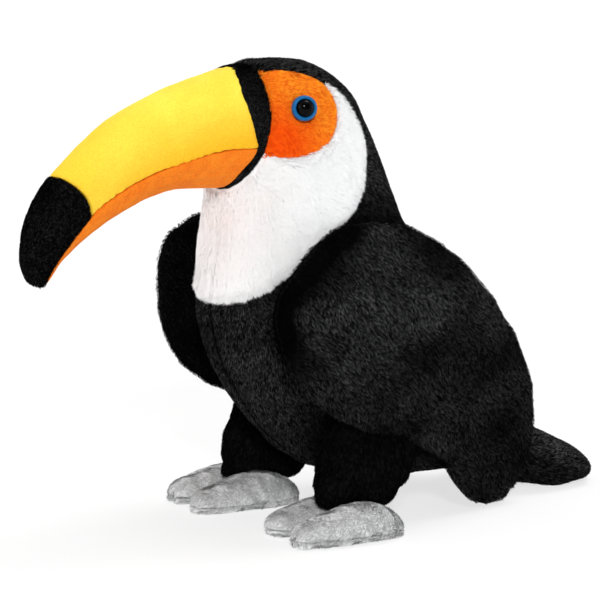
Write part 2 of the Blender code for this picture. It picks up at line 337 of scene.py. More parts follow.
def swollen(obj, pinned, cap):
    """The shell blown up between its pinned points, which stay, by no more than cap."""
    start = coords(obj.data)
    group = obj.vertex_groups.new(name="seams")
    group.add(np.nonzero(pinned)[0].tolist(), 1.0, "REPLACE")
    cloth = obj.modifiers.new("stuffing", "CLOTH")
    cloth.settings.use_pressure = True
    cloth.settings.uniform_pressure_force = PRESSURE
    cloth.settings.effector_weights.gravity = 0
    cloth.settings.vertex_group_mass = "seams"
    for at in range(1, STUFFING_FRAMES + 1):
        bpy.context.scene.frame_set(at)
    applied(obj)
    bpy.context.scene.frame_set(1)
    obj.vertex_groups.clear()
    move = coords(obj.data) - start
    far = np.linalg.norm(move, axis=1, keepdims=True)
    put(obj, start + move * np.minimum(1, cap / np.maximum(far, 1e-9)))
    return softened(obj, 1)


def nearest_on(points, shell, faces):
    """For each point, the nearest face of a shell, its weights there, and how far it is."""
    tree = BVHTree.FromPolygons(shell.tolist(), faces.tolist())
    found = [tree.find_nearest(Vector(p)) for p in points]
    spot = np.array([f[0] for f in found], float)
    face = np.array([f[2] for f in found])
    a, b, c = (shell[faces[face, k]] for k in range(3))
    across = np.cross(b - a, c - a)
    size = np.maximum((across ** 2).sum(1), 1e-18)
    v = (np.cross(spot - a, c - a) * across).sum(1) / size
    w = (np.cross(b - a, spot - a) * across).sum(1) / size
    weights = np.stack([1 - v - w, v, w], 1).clip(0, 1)
    away = np.linalg.norm(points - spot, axis=1)
    return face, weights / weights.sum(1, keepdims=True), away


# %% [markdown]
# ## Shells made of several panels
# The body and the beak are each one stuffed bag sewn from panels of different fabric. The whole
# bag is blown up once, and each panel is then carried along, so that neighbours still meet at
# their seam. Every panel is a closed shell of its own, and the small round that its edge gets
# is the seam's valley.

# %% Carry the panels
BODY_NODES = {"black": ("head", "neck", "trunk"), "bib": ("bib",),
              "face_left": ("face_left",), "face_right": ("face_right",)}
BEAK_NODES = {"upper": ("beak_upper",), "lower": ("beak_lower",), "tip": ("beak_tip",),
              "band": ("beak_band",)}
JOIN = 0.25 * MM
BESIDE, FLATTEST = 9 * MM, 0.1
BAG_GIVE, PAD_GIVE = 0.2 * MM, 0.3 * MM


def backing(planes):
    """The end of the beak that lies inside the head: the band's solid, kept behind each plane,
    which is a point in mm and the direction that is cut away."""
    bm = solid_bm(["beak_band"])
    for spot, away in planes:
        bmesh.ops.bisect_plane(bm, geom=bm.verts[:] + bm.edges[:] + bm.faces[:],
                               plane_co=Vector(spot) * MM, plane_no=away, clear_outer=True)
        bmesh.ops.holes_fill(bm, edges=[e for e in bm.edges if e.is_boundary], sides=0)
    mesh = bpy.data.meshes.new("backing")
    bm.to_mesh(mesh)
    bm.free()
    return mesh


# The head's front edge in side view: upright beside the cheek, then running forward below it.
UPRIGHT = ((0, -49.9, 235), (0, -1, 0))
BELOW_CHEEK = ((0, -49.9, 228), (0, -1, 0.247))
BELOW_BILL = ((0, -55.2, 209), (0, -1, 0.50))
ABOVE = {height: ((0, 0, height), (0, 0, -1)) for height in (206, 246)}
UNDER = {height: ((0, 0, height), (0, 0, 1)) for height in (212, 252)}


def backings(part):
    if part == "hood":
        return [backing([UPRIGHT, ABOVE[246]])]
    if part == "bib":
        return [backing([BELOW_BILL, UNDER[212]])]
    side = 1 if part == "left" else -1
    inner = ((13 * side, 0, 0), (-side, 0, 0))
    return [backing([edge, ABOVE[206], UNDER[252], inner]) for edge in (UPRIGHT, BELOW_CHEEK)]


def distance_to(points, nodes):
    part = welded("probe", nodes)
    away = nearest_on(points, coords(part.data), triangles(part.data))[2]
    bpy.data.objects.remove(part)
    return away


class Bag:
    """A joined shell before and after its stuffing."""

    def __init__(self, name, groups, voxel, depth, slack, pins, swell=JOIN, beside=None,
                 flat=(1, 1, 1)):
        """The shell starts depth and slack further in and may grow back by slack. pins is how
        near two groups their seam lies, or finds the seams; near beside the bag stays full."""
        obj = remeshed(welded(name, [n for g in groups.values() for n in g], swell), voxel)
        softened(obj, 2, 0.3)
        self.before, self.faces = coords(obj.data), triangles(obj.data)
        self.out = directions(obj.data)
        if callable(pins):
            pinned = pins(self.before, self.out)
        else:
            away = [distance_to(self.before, nodes) for nodes in groups.values()]
            pinned = np.sort(np.array(away), axis=0)[1] < pins
        full = np.ones(len(self.before))
        if beside:
            full = (distance_to(self.before, beside) / BESIDE).clip(FLATTEST, 1)
        put(obj, self.before - self.out * flat * ((depth + slack) * full)[:, None])
        swollen(obj, pinned, slack + BAG_GIVE)
        self.after = coords(obj.data)
        bpy.data.objects.remove(obj)
        print(name, len(self.before), "points,", int(pinned.sum()), "on seams, moved",
              round(float(np.linalg.norm(self.after - self.before, axis=1).mean()) / MM, 2), "mm")

    def carry(self, obj, share=None):
        """Moves a panel as the bag moved; returns how deep each point lies and the bag's normal.
        share(points, normals) says how much of that move each point takes."""
        points = coords(obj.data)
        face, weights, away = nearest_on(points, self.before, self.faces)
        corners = self.faces[face]
        move = ((self.after - self.before)[corners] * weights[..., None]).sum(1)
        if share:
            move *= share(points, directions(obj.data))[:, None]
        put(obj, points + move)
        return away, unit((self.out[corners] * weights[..., None]).sum(1))


body_bag = Bag("body_bag", BODY_NODES, 5 * MM, 1.5 * MM, 1.0 * MM, 3.4 * MM,
               beside=BEAK_NODES["band"])
beak_bag = Bag("beak_bag", BEAK_NODES, 4 * MM, 0.1 * MM, 0.7 * MM, 2.4 * MM)

# %% [markdown]
# ## Cutting a panel
# A panel is welded from its own solids, remeshed finely enough for a crisp seam line, softened
# so that its edges turn in, and carried by its bag. Dents and gathers are pushed into it
# afterwards, along the shell's own normals.

# %% Panels and pads
WAVES, WAVES_TOGETHER = 7, 3.2
OFF_TABLE = 0.2 * MM
HEAD_FRONT, HEAD_LOW, BEAK_MIDDLE = -36 * MM, 200 * MM, (0, 0, 228 * MM)
shells = {}


def wander(points, wavelength, seed):
    """A smooth random number from about -1 to 1 at each point."""
    draw = np.random.default_rng(seed)
    total = np.zeros(len(points))
    for _ in range(WAVES):
        heading = unit(draw.normal(size=3)) * draw.uniform(0.7, 1.4)
        total += np.sin(points @ heading * (2 * math.pi / wavelength) + draw.uniform(0, 6.3))
    return total / WAVES_TOGETHER


def pushed(obj, amount):
    """Moves each point along its normal."""
    put(obj, coords(obj.data) + directions(obj.data) * amount[:, None])


def finish_shell(name, obj, nodes, slot, outer):
    """Names, rides and slots a stuffed piece; outer marks the points on its outside."""
    obj.name = obj.data.name = f"{name}_shell"
    points = coords(obj.data)
    points[:, 2] = np.maximum(points[:, 2], OFF_TABLE)
    put(obj, points)
    obj.data.shade_smooth()
    layer = obj.data.attributes.new("outer", "FLOAT", "POINT")
    layer.data.foreach_set("value", outer.astype(np.float32))
    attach(obj, "root")
    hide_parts(*nodes)
    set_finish(obj, slot)
    shells[name] = obj
    print(obj.name, len(obj.data.polygons), "faces")


def round_the_beak(points, normals):
    """The head's front edge, which hugs the beak and looks away from the beak's middle line."""
    radial = unit((points - BEAK_MIDDLE) * (1, 0, 1))
    return (points[:, 1] < HEAD_FRONT) & (points[:, 2] > HEAD_LOW) & \
        ((normals * radial).sum(1) > 0.35)


def panel(name, bag, nodes, slot, voxel, smooth, deep, shape=None, extra=()):
    """A piece of a bag: points less deep in it than deep are the panel's outside."""
    grown = JOIN if len(nodes) > 1 else 0
    obj = softened(remeshed(welded(f"{name}_shell", nodes, grown, extra), voxel), smooth)
    away, out = bag.carry(obj)
    outer = (away < deep) & ((directions(obj.data) * out).sum(1) > 0.0)
    outer |= round_the_beak(coords(obj.data), directions(obj.data))
    if shape:
        pushed(obj, shape(coords(obj.data)) * outer)
    finish_shell(name, obj, nodes, slot, outer)


def pad(name, nodes, slot, voxel, depth, slack, pins, shape=None, rounds=1):
    """A stuffed piece that is one solid: pins(points, normals) says where its seams hold it."""
    obj = softened(remeshed(welded(f"{name}_shell", nodes), voxel), 1, 0.3)
    points, out = coords(obj.data), directions(obj.data)
    pinned = pins(points, out)
    put(obj, points - out * (depth + slack))
    swollen(obj, pinned, slack + PAD_GIVE)
    for _ in range(rounds):
        subdivided(obj)
    if shape:
        pushed(obj, shape(coords(obj.data)))
    finish_shell(name, obj, nodes, slot, np.ones(len(obj.data.vertices)))


# %% [markdown]
# ## The body: hood, bib and cheeks
# One black panel covers crown, nape and belly, a white bib wraps the throat and the chest, and
# an orange cheek with the eye sits on each side. A seam runs down the middle of the bib and of
# the belly, where the left and right halves of the pattern are sewn together.

# %% Body panels
CENTRE_SEAM = 1.6 * MM
BODY_DEEP = 1.7 * MM


def groove_along(distance, width, deepest):
    """A seam's valley, deepest in mm where the distance from the seam is nothing."""
    return np.exp(-(distance / width) ** 2) * deepest * MM


def belly_seam(points):
    """The groove of the seam down the middle, and soft unevenness of the stuffing."""
    return wander(points, 55 * MM, 3) * 0.7 * MM + wander(points, 21 * MM, 4) * 0.25 * MM \
        - groove_along(points[:, 0], CENTRE_SEAM, 0.9)


panel("hood", body_bag, BODY_NODES["black"], "black_plush", 2.3 * MM, 6, BODY_DEEP,
      belly_seam, backings("hood"))
panel("bib", body_bag, BODY_NODES["bib"], "white_plush", 1.8 * MM, 3, BODY_DEEP,
      belly_seam, backings("bib"))
for side in ("left", "right"):
    panel(f"cheek_{side}", body_bag, BODY_NODES[f"face_{side}"], "orange_plush",
          1.3 * MM, 2, BODY_DEEP, extra=backings(side))

# %% [markdown]
# ## The beak: band, upper and lower bill, tip
# The beak is sewn from short velour, which shows the stuffing under it: small gathers stand
# across the long seam between the yellow and the orange fabric, and the black tip has a seam
# along its ridge.

# %% Beak panels
PUCKER, PUCKER_REACH, PUCKER_DEPTH = 5.5 * MM, 4.5 * MM, 0.28
RIDGE_SEAM = 1.1 * MM
BILL_VOXEL, BEAK_DEEP = 0.95 * MM, 1.2 * MM
MOUTH = {"upper": BEAK_NODES["lower"], "lower": BEAK_NODES["upper"]}


def gathers(points, part=None):
    """Soft lumps, and puckers that fade away from the mouth seam."""
    lumps = wander(points, 34 * MM, 8) * 0.35 * MM + wander(points, 12 * MM, 9) * 0.12 * MM
    if part in MOUTH:
        near = np.exp(-distance_to(points, MOUTH[part]) / PUCKER_REACH)
        along = np.hypot(points[:, 1] + 60 * MM, points[:, 2] - 110 * MM) * 0.4 - points[:, 1]
        along += wander(points, 25 * MM, 31) * 2 * MM
        lumps += np.sin(along * (2 * math.pi / PUCKER)) * near * PUCKER_DEPTH * MM * \
            (0.5 + 0.5 * wander(points, 30 * MM, 32)).clip(0, 1)
    return lumps


def ridge_seam(points):
    return gathers(points) - groove_along(points[:, 0], RIDGE_SEAM, 0.8)


for name, slot, shape in (("upper", "yellow_velour", lambda p: gathers(p, "upper")),
                          ("lower", "orange_velour", lambda p: gathers(p, "lower")),
                          ("tip", "black_velour", ridge_seam), ("band", "black_velour", gathers)):
    panel(f"beak_{name}", beak_bag, BEAK_NODES[name], slot, BILL_VOXEL, 3, BEAK_DEEP, shape)

# %% [markdown]
# ## Wings, tail, legs and feet
# These are sewn as flat pads and turned out, so each has one seam round its rim. The seam is
# what the solver holds, and the two faces crown between it. The two wings are not quite alike:
# the left one's front corner is drawn back from the bib, and the right one's stands a little
# higher, as happens when a toy is stuffed by hand.

# %% Pads
def wing_dents(points):
    side = np.abs(points[:, 0])
    outside = np.clip((side - 50 * MM) / (6 * MM), 0, 1)
    return (wander(points, 46 * MM, 12) * 1.9 * outside + wander(points, 19 * MM, 13) * 0.5) * MM


def tail_lumps(points):
    return wander(points, 23 * MM, 23) * (0.8 * MM)


def cuff(points):
    """The leg's lower edge is gathered by its seam with the foot."""
    height = points[:, 2] / MM
    fold = np.exp(-((height - 24) / 3.2) ** 2) * 1.3 - np.exp(-((height - 17) / 3) ** 2) * 0.7
    return (wander(points, 24 * MM, 21) * 0.9 - fold + wander(points, 11 * MM, 24) * 0.3) * MM


SOLE_SEAM = 4.6 * MM


def sole_seam(points):
    """A groove low round the foot, where the sole is sewn on."""
    return wander(points, 11 * MM, 22) * 0.3 * MM \
        - groove_along(points[:, 2] - SOLE_SEAM, 0.7 * MM, 0.8)


def outer_side(points, normals):
    """1 on a wing's outer face, 0 on the face that lies against the body."""
    return (normals[:, 0] * np.sign(points[:, 0]) * 1.6 + 0.45).clip(0, 1)


# Where in side view, how far round it the pull is felt, which way, and how strong it is in mm.
CORNER = (-58 * MM, 158 * MM), 26 * MM, np.array((0, 0.62, -0.78)), 5
SHOULDER = (12 * MM, 172 * MM), 24 * MM, np.array((0, 0, -1)), 2.2
CORNER_SHARE = {"left": 1, "right": -0.5}


def drawn(points, spot, reach, way, pull, share=1):
    near = np.exp(-(np.hypot(points[:, 1] - spot[0], points[:, 2] - spot[1]) / reach) ** 2)
    return near[:, None] * way * share * pull * MM


for side in ("left", "right"):
    wing_bag = Bag(f"wing_{side}_bag", {"wing": [f"wing_{side}"]}, 4 * MM, 2.3 * MM, 0.9 * MM,
                   lambda p, n: np.abs(n[:, 0]) < 0.45, swell=2.5 * MM, flat=(1, 0.05, 0.05))
    wing = welded(f"wing_{side}_shell", [f"wing_{side}"], 1.2 * MM)
    softened(remeshed(wing, 2.0 * MM), 2)
    wing_bag.carry(wing, outer_side)
    points = coords(wing.data)
    put(wing, points + drawn(points, *CORNER, CORNER_SHARE[side]) + drawn(points, *SHOULDER))
    points = coords(wing.data)
    pushed(wing, wing_dents(points) * outer_side(points, directions(wing.data)))
    finish_shell(f"wing_{side}", wing, [f"wing_{side}"], "black_plush",
                 np.ones(len(points)))
    pad(f"leg_{side}", [f"leg_{side}"], "black_plush", 3.5 * MM, 1.3 * MM, 1.0 * MM,
        lambda p, n: (p[:, 2] < 17 * MM) | (p[:, 2] > 62 * MM), cuff)
    for toe in ("outer", "inner"):
        pad(f"toe_{side}_{toe}", [f"foot_{side}_{toe}_toe"], "grey_velour", 2.6 * MM,
            0.5 * MM, 0.5 * MM, lambda p, n: (p[:, 2] < 5 * MM), sole_seam, rounds=2)
pad("tail", ["tail"], "black_plush", 3.5 * MM, 1.2 * MM, 0.9 * MM,
    lambda p, n: np.abs(n[:, 2]) < 0.45, tail_lumps)

# %% [markdown]
# ## Safety eyes
# A safety eye is moulded plastic: a rounded blue collar with a glossy black dome set in it, and
# a shank that goes through the cloth. Both are turned shapes, so half a profile is spun round
# the eye's own axis, which is measured from the eye's solid. The pile closes in on the collar, so
# a little less of it shows than the solid has.

# %% Spin the eyes
EYE_ROUND = 56
RIM_PROFILE = ((0.60, 0.30), (0.715, 0.84), (0.76, 0.90), (0.83, 0.93), (0.90, 0.88), (0.96, 0.78),
               (0.99, 0.65), (1.0, 0.5), (0.985, 0.2), (0.9, 0.0))
DOME_PROFILE = ((1.0, 0.0), (0.995, 0.12), (0.97, 0.28), (0.9, 0.48), (0.78, 0.68), (0.6, 0.85),
                (0.4, 0.95), (0.2, 0.99), (0.0, 1.0))


def eye_axis(node):
    """A solid's middle, which way it looks, its radius, and its lowest and highest point."""
    points = coords(cad[node].data)
    centre = (points.max(0) + points.min(0)) / 2
    around = np.linalg.svd(points - points.mean(0), full_matrices=False)[2]
    axis = around[2] * np.sign(around[2][0] * centre[0])
    along = (points - centre) @ axis
    radial = np.linalg.norm((points - centre) - np.outer(along, axis), axis=1)
    return centre, axis, radial.max(), along.min(), along.max()


def turned(name, profile, place, axis):
    """A profile of (radius, height) spun round the axis, welded, faces outwards."""
    bm = bmesh.new()
    spots = [bm.verts.new((r, 0, z)) for r, z in profile]
    edges = [bm.edges.new(pair) for pair in zip(spots, spots[1:])]
    bmesh.ops.spin(bm, geom=spots + edges, cent=(0, 0, 0), axis=(0, 0, 1), dvec=(0, 0, 0),
                   angle=2 * math.pi, steps=EYE_ROUND, use_merge=True)
    bmesh.ops.remove_doubles(bm, verts=bm.verts, dist=0.005 * MM)
    bmesh.ops.holes_fill(bm, edges=bm.edges, sides=EYE_ROUND + 1)
    bmesh.ops.recalc_face_normals(bm, faces=bm.faces)
    turn = Vector(axis).to_track_quat("Z", "Y").to_matrix().to_4x4()
    bmesh.ops.transform(bm, matrix=Matrix.Translation(place) @ turn, verts=bm.verts)
    made = object_from(name, bm)
    made.data.shade_smooth()
    return made


EYE_SHARE = 0.94
eyes = []
for side in ("left", "right"):
    pair, axis = [], None
    for part, name, slot, profile in (("rim", "collar", "eye_rim", RIM_PROFILE),
                                      ("pupil", "dome", "eye_pupil", DOME_PROFILE)):
        node = f"eye_{side}_{part}"
        centre, own_axis, radius, low, high = eye_axis(node)
        axis = own_axis if axis is None else axis  # the dome looks the way its collar does
        radius *= EYE_SHARE
        made = turned(f"eye_{side}_{name}",
                      [(r * radius, low + (high - low) * z) for r, z in profile],
                      Vector(centre), axis)
        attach(made, "root")
        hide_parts(node)
        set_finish(made, slot)
        pair.append(made)
        print(made.name, round(2 * radius / MM, 1), "mm across")
    eyes.append(pair)

# %% [markdown]
# ## Effects that several fabrics share
# Each effect is a node group that is built once. `cloth_tone` lets a colour drift a little over
# the cloth, as dye and brushed nap do. `nap_bump` raises fine grain on soft unevenness.
# `tuft_light` paints shade on a tuft towards its root, where the pile shades itself, and gives
# each its own shade.

# %% Shared groups
def shader_group(name, result, kind, **inputs):
    """A node group with its inputs and their values by name, and one output of a kind."""
    tree = bpy.data.node_groups.new(name, "ShaderNodeTree")
    for title, value in inputs.items():
        socket = "NodeSocketColor" if isinstance(value, tuple) else "NodeSocketFloat"
        tree.interface.new_socket(title, in_out="INPUT", socket_type=socket).default_value = value
    tree.interface.new_socket(result, in_out="OUTPUT", socket_type=kind)
    given, output = tree.nodes.new("NodeGroupInput"), tree.nodes.new("NodeGroupOutput")
    return tree, given.outputs, output.inputs[0]


def mixed(tree, factor, a, b):
    """A blend of two colours; each of factor, a and b is a socket or a value."""
    made = shader_node(tree, "Mix", data_type="RGBA")
    for at, value in ((0, factor), (6, a), (7, b)):
        feed(tree, made.inputs[at], value)
    return made.outputs[2]


def noise_at(tree, scale, detail=2.0, distortion=0.0):
    """Noise in object coordinates, with scale in waves per metre."""
    made = shader_node(tree, "TexNoise", Detail=detail, Distortion=distortion)
    feed(tree, made.inputs["Vector"], shader_node(tree, "TexCoord").outputs["Object"])
    feed(tree, made.inputs["Scale"], scale)
    return made.outputs["Fac"]


SPECKS = 1100
BUMP_DEPTH, COARSE_SHARE = 0.3 * MM, 1.6


def make_cloth_tone():
    tree, given, result = shader_group("cloth_tone", "Colour", "NodeSocketColor",
                                       Colour=(1, 1, 1, 1), Deep=(0, 0, 0, 1), Scale=60.0,
                                       Amount=0.3, Speck=0.1)
    broad = mapped(tree, noise_at(tree, given["Scale"], 3.0, 0.4), 0.35, 0.7, 0, 1)
    amount = calculated(tree, "MULTIPLY", broad, given["Amount"])
    shade = mixed(tree, amount, given["Colour"], given["Deep"])
    grain = mapped(tree, noise_at(tree, SPECKS), 0.3, 0.7, -1.0, 1.0)
    level = calculated(tree, "MULTIPLY_ADD", grain, given["Speck"], 1.0)
    feed(tree, result, vector_math(tree, "MULTIPLY", shade, level))
    return tree


def make_nap_bump():
    tree, given, result = shader_group("nap_bump", "Normal", "NodeSocketVector", Fine=2200.0,
                                       Coarse=300.0, Strength=0.5)
    fine, coarse = noise_at(tree, given["Fine"], 3.0), noise_at(tree, given["Coarse"])
    bump = shader_node(tree, "Bump", Distance=BUMP_DEPTH)
    feed(tree, bump.inputs["Strength"], given["Strength"])
    feed(tree, bump.inputs["Height"],
         calculated(tree, "MULTIPLY_ADD", coarse, COARSE_SHARE, fine))
    feed(tree, result, bump.outputs["Normal"])
    return tree


def make_tuft_light():
    """Reads a tuft's own mark: red rises from its root to its tip, green is its shade."""
    tree, given, result = shader_group("tuft_light", "Colour", "NodeSocketColor",
                                       Colour=(1, 1, 1, 1), Shadow=(0, 0, 0, 1), Root=0.5,
                                       Spread=0.2)
    mark = shader_node(tree, "Attribute", attribute_name="tuft")
    parts = shader_node(tree, "SeparateColor")
    feed(tree, parts.inputs["Color"], mark.outputs["Color"])
    height = mapped(tree, parts.outputs["Red"], 0, 1, given["Root"], 1.0)
    low = calculated(tree, "SUBTRACT", 1.0, given["Spread"])
    high = calculated(tree, "ADD", 1.0, given["Spread"])
    shade = mapped(tree, parts.outputs["Green"], 0, 1, low, high)
    lit = mixed(tree, calculated(tree, "MULTIPLY", height, shade), given["Shadow"],
                given["Colour"])
    lit.node.clamp_factor = False
    feed(tree, result, lit)
    return tree


CLOTH_TONE, NAP_BUMP, TUFT_LIGHT = make_cloth_tone(), make_nap_bump(), make_tuft_light()
print("groups:", [g.name for g in bpy.data.node_groups])

# %% [markdown]
# ## Fabrics
# A fabric has one material for the backing cloth of the shell, with its nap as bump, and one
# with the same colours for the tufts of its coat. The yellow and the orange velour are too short
# for tufts, and have only the first.

# %% Fabric materials
def placed(tree, group, **values):
    made = tree.nodes.new("ShaderNodeGroup")
    made.node_tree = group
    for title, value in values.items():
        feed(tree, made.inputs[title], value)
    return made.outputs[0]


def coordinate(tree, axis):
    """The object coordinate along X, Y or Z."""
    parts = shader_node(tree, "SeparateXYZ")
    feed(tree, parts.inputs[0], shader_node(tree, "TexCoord").outputs["Object"])
    return parts.outputs[axis]


def away_in_side_view(tree, spot):
    """How far away a spot is in side view, which is the same on the toy's left and right."""
    place = shader_node(tree, "TexCoord").outputs["Object"]
    return vector_math(tree, "DISTANCE", vector_math(tree, "MULTIPLY", place, (0, 1, 1)), spot)


CHEEK_CORNER, CORNER_FADE = (0, -46 * MM, 216 * MM), (6 * MM, 26 * MM)
ARCH_CENTRE = (0, -60 * MM, 110 * MM)
MOUTH_TO_RIDGE, TOWARDS_TIP = (106 * MM, 134 * MM), (-115 * MM, -160 * MM)
SEAM_SHADE = (0.27, 0.27, 0.27, 1)


def red_corner(tree, colour, deep):
    """Orange that reddens low down towards the beak."""
    warm = mapped(tree, away_in_side_view(tree, CHEEK_CORNER), *CORNER_FADE, 1.0, 0.0)
    return mixed(tree, warm, colour, deep)


def painted_golden_shade(tree, colour, deep):
    """Painted shade: yellow that turns golden towards the mouth and the tip: the bill arches round
    a centre.
    """
    low = mapped(tree, away_in_side_view(tree, ARCH_CENTRE), *MOUTH_TO_RIDGE, 1.0, 0.0)
    far = mapped(tree, coordinate(tree, "Y"), *TOWARDS_TIP, 0.0, 0.6)
    return mixed(tree, calculated(tree, "MAXIMUM", low, far), colour, deep)


def sole_line(tree, colour, deep):
    """The shadow in the seam that joins a sole, broken up where the pile falls across it."""
    above = calculated(tree, "SUBTRACT", coordinate(tree, "Z"), SOLE_SEAM)
    line = mapped(tree, calculated(tree, "ABSOLUTE", above), 0.3 * MM, 0.75 * MM, 1.0, 0.0)
    broken = mapped(tree, noise_at(tree, 420, 1.0), 0.42, 0.56, 0.25, 1.0)
    return mixed(tree, calculated(tree, "MULTIPLY", line, broken), colour, SEAM_SHADE)


def fabric(name, colour, deep, tone, amount, rough, sheen, sheen_tint, specular,
           coat=None, bump=0.5, fine=2400.0, coarse=320.0, recolour=None, speck=0.0,
           shadow=(0, 0, 0), under=1.0):
    """Two materials of one fabric: its cloth, and its coat if coat gives (root, spread). Both
    darken towards a painted shadow colour: a tuft by painted shade at its root and by its own
    shade, and the cloth between the tufts by painted shade, of whose colour only the share under
    is left."""
    made = []
    for part in ("cloth", "coat") if coat else ("cloth",):
        material, tree, shader = plain_material(
            f"{name}_{part}", colour, rough, Sheen_Weight=sheen, Sheen_Roughness=0.45,
            Sheen_Tint=(*sheen_tint, 1), Specular_IOR_Level=specular)
        base, darker = (*colour, 1), (*deep, 1)
        if recolour:
            base = recolour(tree, base, darker)
        shade = placed(tree, CLOTH_TONE, Colour=base, Deep=darker, Scale=tone, Amount=amount,
                       Speck=speck)
        if part == "coat":
            shade = placed(tree, TUFT_LIGHT, Colour=shade, Shadow=(*shadow, 1), Root=coat[0],
                           Spread=coat[1])
        else:
            shade = mixed(tree, under, (*shadow, 1), shade)
            feed(tree, shader.inputs["Normal"],
                 placed(tree, NAP_BUMP, Fine=fine, Coarse=coarse, Strength=bump))
        feed(tree, shader.inputs["Base Color"], shade)
        made.append(material)
    return made


# The yellow velour carries painted shade, golden towards the mouth and the tip.
YELLOW = fabric("yellow_velour", (0.97, 0.75, 0.078), (0.94, 0.50, 0.018), 42, 0.35, 0.85, 0.1,
                (1.0, 0.85, 0.3), 0.1, bump=1.0, fine=1100.0, coarse=420.0, speck=0.09,
                recolour=painted_golden_shade)
ORANGE = fabric("orange_velour", (0.93, 0.24, 0.015), (0.82, 0.14, 0.007), 110, 0.6, 0.85, 0.15,
                (1.0, 0.5, 0.15), 0.1, bump=1.0, fine=1100.0, coarse=420.0, speck=0.12)
BLACK_SHORT = fabric("black_velour", (0.030, 0.030, 0.0303), (0.010, 0.010, 0.0102), 70, 0.7, 0.6,
                     0.0, (1, 1, 1), 0.0, coat=(0.2, 0.95), speck=0.3, under=0.25)
BLACK = fabric("black_plush", (0.078, 0.078, 0.080), (0.036, 0.036, 0.037), 38, 0.8, 0.5,
               0.0, (1, 1, 1), 0.0, coat=(0.1, 0.97), speck=0.3, under=0.12)
CHEEK = fabric("orange_plush", (1.0, 0.32, 0.017), (0.99, 0.11, 0.003), 60, 0.35, 0.75, 0.08,
               (1.0, 0.4, 0.1), 0.05, coat=(0.7, 0.6), recolour=red_corner,
               shadow=(0.80, 0.045, 0.001), under=0.7)
WHITE = fabric("white_plush", (0.962, 0.966, 0.967), (0.945, 0.95, 0.95), 50, 0.4, 0.8, 0.05,
               (1, 1, 1), 0.08, coat=(0.95, 0.08), shadow=(0.7, 0.69, 0.68), under=0.95)
GREY = fabric("grey_velour", (0.84, 0.845, 0.85), (0.68, 0.685, 0.69), 110, 0.6, 0.8, 0.05,
              (1, 1, 1), 0.08, coat=(0.5, 0.34), recolour=sole_line,
              shadow=(0.2, 0.2, 0.2), under=0.5)
print("fabrics:", len(bpy.data.materials))

# %% [markdown]
# ## Plastic
# The collar is blue plastic with a faint darker haze in it. The dome is as black as plastic gets,
# so that of the whole studio only the key light shows in it.

# %% Eye materials
def eye_plastic(name, colour, hazed, roughness, coat, specular):
    material, tree, shader = plain_material(name, colour, roughness, Coat_Weight=coat,
                                            Coat_Roughness=0.1, Specular_IOR_Level=specular)
    haze = mapped(tree, noise_at(tree, 900, 3.0), 0.3, 0.8, 0.0, 0.6)
    feed(tree, shader.inputs["Base Color"], mixed(tree, haze, (*colour, 1), (*hazed, 1)))
    feed(tree, shader.inputs["Roughness"],
         mapped(tree, noise_at(tree, 2600), 0.3, 0.7, roughness * 0.8, roughness * 1.3))
    return material


PLASTICS = (
    eye_plastic("blue_plastic", (0.006, 0.14, 0.36), (0.004, 0.06, 0.2), 0.3, 0.05, 0.12),
    eye_plastic("black_plastic", (0.0003, 0.0003, 0.0004), (0.0006, 0.0006, 0.0007), 0.12, 0.0,
                0.08))
for pair in eyes:
    for piece, plastic in zip(pair, PLASTICS):
        piece.data.materials.append(plastic)

FABRIC_OF = {"hood": BLACK, "bib": WHITE, "cheek": CHEEK, "beak_upper": YELLOW,
             "beak_lower": ORANGE, "beak_tip": BLACK_SHORT, "beak_band": BLACK_SHORT,
             "wing": BLACK, "leg": BLACK, "tail": BLACK, "toe": GREY}
for name, shell in shells.items():
    cloth = next(FABRIC_OF[start][0] for start in FABRIC_OF if name.startswith(start))
    shell.data.materials.clear()
    shell.data.materials.append(cloth)

# %% [markdown]
# ## The pile
# A pile fabric's coat is thousands of bent tufts. Each tuft here is a kite of two small faces:
# it leaves the cloth steeply, bends at its widest place and lies along the nap. Tufts gather
# into locks, as brushed plush does. The shell is unwrapped, and each tuft keeps a small patch
# of that unwrap at its root, so that its colour can be baked there.

# %% Tufts
PATCH = 0.003
SUNK = 0.25 * MM
TABLE_CLEARANCE = 0.25 * MM
LOWER_PART, UPPER_PART = 0.42, 0.58
SOLE_HEIGHT = 1.2 * MM


def unwrapped(obj):
    """Gives the shell the map OFBake, laid out from its own shape."""
    bpy.ops.object.select_all(action="DESELECT")
    obj.select_set(True)
    bpy.context.view_layer.objects.active = obj
    obj.data.uv_layers.new(name="OFBake")
    bpy.ops.object.mode_set(mode="EDIT")
    bpy.ops.mesh.select_all(action="SELECT")
    bpy.ops.uv.smart_project(angle_limit=math.radians(66), island_margin=0.004)
    bpy.ops.object.mode_set(mode="OBJECT")
    obj.select_set(False)


def open_air(obj, others, reach):
    """1 at each point with nothing close in front of it, 0 where another piece covers it."""
    points, faces = [], []
    for other in others:
        faces.append(triangles(other.data) + sum(len(p) for p in points))
        points.append(coords(other.data))
    tree = BVHTree.FromPolygons(np.concatenate(points).tolist(), np.concatenate(faces).tolist())
    free = [tree.ray_cast(Vector(p + n * 0.4 * MM), Vector(n), reach)[0] is None
            for p, n in zip(coords(obj.data), directions(obj.data))]
    return np.array(free, float)


